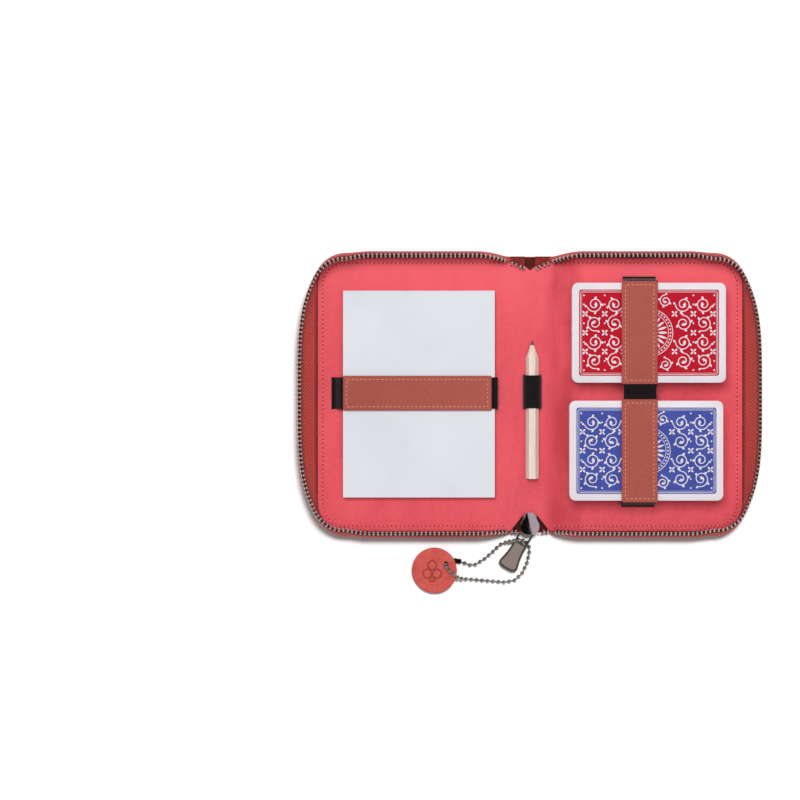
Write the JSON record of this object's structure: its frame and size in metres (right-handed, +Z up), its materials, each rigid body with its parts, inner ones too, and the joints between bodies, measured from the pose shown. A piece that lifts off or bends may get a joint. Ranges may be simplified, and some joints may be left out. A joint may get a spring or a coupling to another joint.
{
  "type": "zipped card case",
  "caption": "Soft zipped case that opens flat, with strapped card decks and notepad in its halves, a pencil loop on its spine and a ball chain tag on its zip puller.",
  "frame": {"origin": "centre of the spine's underside, on the surface that the open case lies on", "axes": "+X from the spine to the half that holds the cards, +Y along the spine to the end with the zip's top stops, +Z up out of the open case"},
  "size_m": [0.2684, 0.1987, 0.0215],
  "materials": {
    "cover_leather": "pebbled coral leather",
    "stiffener_board": "grey board",
    "lining_suede": "coral microfibre suede",
    "zip_tape": "red herringbone zip tape",
    "zip_metal": "gunmetal zip teeth",
    "strap_leather": "smooth terracotta leather",
    "black_elastic": "black woven elastic",
    "card_stock": "white coated card",
    "red_card_back": "white border round a red printed ground",
    "blue_card_back": "white border round a blue printed ground",
    "pad_paper": "white writing paper",
    "pad_backing": "grey board",
    "pad_glue": "white padding glue",
    "pencil_wood": "bare pale wood",
    "pencil_lead": "graphite",
    "slider_metal": "polished gunmetal",
    "puller_metal": "satin taupe face with polished rim",
    "chain_metal": "polished gunmetal balls",
    "tag_leather": "smooth coral leather"
  },
  "bodies": {
    "back_half": {"back_cover_leather": "cover_leather", "back_board": "stiffener_board", "back_lining": "lining_suede", "back_zip_tape": "zip_tape", "back_zip_teeth": "zip_metal", "card_strap_elastic": "black_elastic", "red_strap_patch": "strap_leather", "blue_strap_patch": "strap_leather"},
    "spine": {"spine_cover_leather": "cover_leather", "spine_board": "stiffener_board", "spine_lining": "lining_suede", "pencil_loop": "black_elastic", "zip_tape_end_top": "zip_tape", "zip_tape_end_bottom": "zip_tape", "spine_zip_teeth": "zip_metal", "zip_top_stops": "zip_metal", "slider_body": "slider_metal", "slider_crown": "slider_metal"},
    "front_half": {"front_cover_leather": "cover_leather", "front_board": "stiffener_board", "front_lining": "lining_suede", "front_zip_tape": "zip_tape", "front_zip_teeth": "zip_metal", "notepad_strap_elastic": "black_elastic", "notepad_strap_patch": "strap_leather"},
    "red_deck": {"red_deck_cards": "card_stock", "red_top_card": "red_card_back"},
    "blue_deck": {"blue_deck_cards": "card_stock", "blue_top_card": "blue_card_back"},
    "notepad": {"notepad_backing": "pad_backing", "notepad_sheets": "pad_paper", "notepad_glue_strip": "pad_glue"},
    "pencil": {"pencil_wood": "pencil_wood", "pencil_lead": "pencil_lead"},
    "puller": {"puller": "puller_metal"},
    "chain": {"ball_chain": "chain_metal", "chain_clasp": "slider_metal"},
    "tag": {"leather_tag": "tag_leather"}
  },
  "joints": [
    {"name": "spine_fold", "type": "hinge", "parent": "back_half", "child": "spine", "pos_m": [0.0115, 0, 0.005], "axis": [0, 1, 0], "range_deg": [0, 90]},
    {"name": "front_fold", "type": "hinge", "parent": "spine", "child": "front_half", "pos_m": [-0.0115, 0, 0.005], "axis": [0, 1, 0], "range_deg": [0, 90]},
    {"name": "red_deck_slide", "type": "slide", "parent": "back_half", "child": "red_deck", "axis": [1, 0, 0], "range_m": [-0.004, 0.007]},
    {"name": "blue_deck_slide", "type": "slide", "parent": "back_half", "child": "blue_deck", "axis": [1, 0, 0], "range_m": [-0.003, 0.008]},
    {"name": "notepad_slide", "type": "slide", "parent": "front_half", "child": "notepad", "axis": [0, 1, 0], "range_m": [-0.016, 0.016]},
    {"name": "pencil_slide", "type": "slide", "parent": "spine", "child": "pencil", "axis": [0, 1, 0], "range_m": [-0.017, 0.036]},
    {"name": "puller_swing", "type": "hinge", "parent": "spine", "child": "puller", "pos_m": [0, -0.0775, 0.00325], "axis": [0, 0, 1], "range_deg": [-2, 62]},
    {"name": "chain_swing", "type": "hinge", "parent": "puller", "child": "chain", "pos_m": [-0.0046, -0.0849, 0.0039], "axis": [0, 0, 1], "range_deg": [-2, 5]},
    {"name": "tag_turn", "type": "hinge", "parent": "chain", "child": "tag", "pos_m": [-0.0489, -0.0988, 0.00364], "axis": [-0.1132, 0, 0.9936], "range_deg": [-15, 3]}
  ],
  "couplings": [
    {"joint": "front_fold", "follows": "spine_fold", "ratio": 1}
  ]
}
